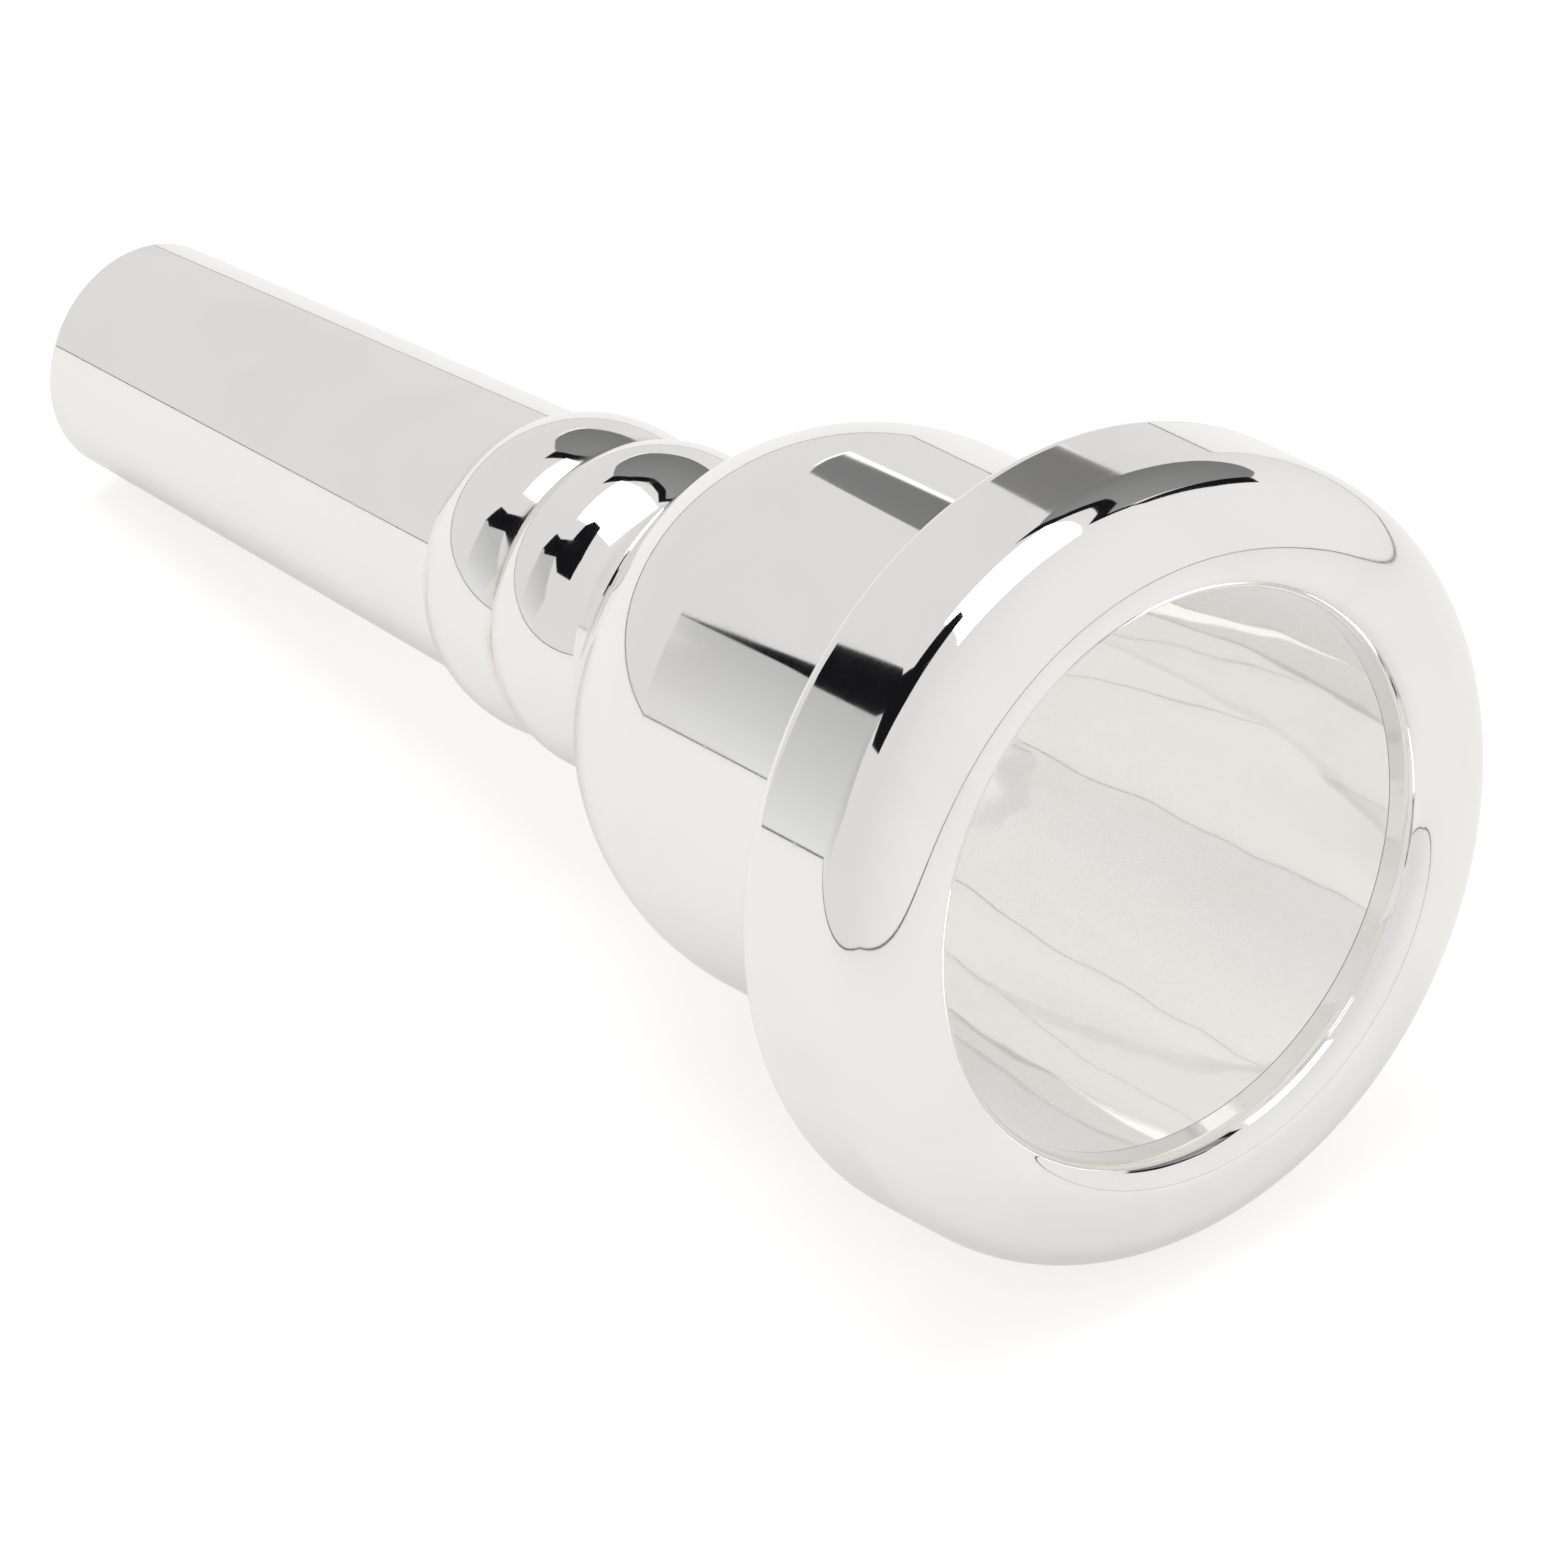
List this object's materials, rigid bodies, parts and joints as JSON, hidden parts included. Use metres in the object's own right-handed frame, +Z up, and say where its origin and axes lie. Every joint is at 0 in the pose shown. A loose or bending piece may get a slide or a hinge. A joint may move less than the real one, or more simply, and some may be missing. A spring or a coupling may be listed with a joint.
{
  "type": "tuba mouthpiece",
  "caption": "Screw-together tuba mouthpiece: rounded rim band, deep bowl cup with a beaded neck, and a tapered shank that plugs into the instrument.",
  "frame": {"origin": "centre of the footprint of the mouthpiece lying on its side, on the floor", "axes": "+Z up, +X from the shank's end towards the rim, +Y to the left of a viewer who looks along +X"},
  "size_m": [0.095, 0.0448, 0.045],
  "materials": {
    "silver_plate": "brass under bright silver plate, mirror polished",
    "seal_rubber": "moulded black rubber, slightly greased"
  },
  "bodies": {
    "shank": {"shank": "silver_plate"},
    "shank_seal": {"shank_seal": "seal_rubber"},
    "cup": {"cup": "silver_plate"},
    "rim_seal": {"rim_seal": "seal_rubber"},
    "rim": {"rim": "silver_plate"}
  },
  "joints": [
    {"name": "cup_turn", "type": "hinge", "parent": "shank", "child": "shank_seal", "pos_m": [-0.00386, 0, 0.01454], "axis": [0.9821, 0, 0.1884], "range_deg": [0, 1260]},
    {"name": "cup_travel", "type": "slide", "parent": "shank_seal", "child": "cup", "axis": [0.9821, 0, 0.1884], "range_m": [0, 0.0035]},
    {"name": "rim_turn", "type": "hinge", "parent": "cup", "child": "rim_seal", "pos_m": [0.03385, 0, 0.02178], "axis": [0.9821, 0, 0.1884], "range_deg": [0, 1260]},
    {"name": "rim_travel", "type": "slide", "parent": "rim_seal", "child": "rim", "axis": [0.9821, 0, 0.1884], "range_m": [0, 0.0035]}
  ],
  "couplings": [
    {"joint": "cup_turn", "follows": "cup_travel", "rad_per_m": 6283.2},
    {"joint": "rim_turn", "follows": "rim_travel", "rad_per_m": 6283.2}
  ]
}
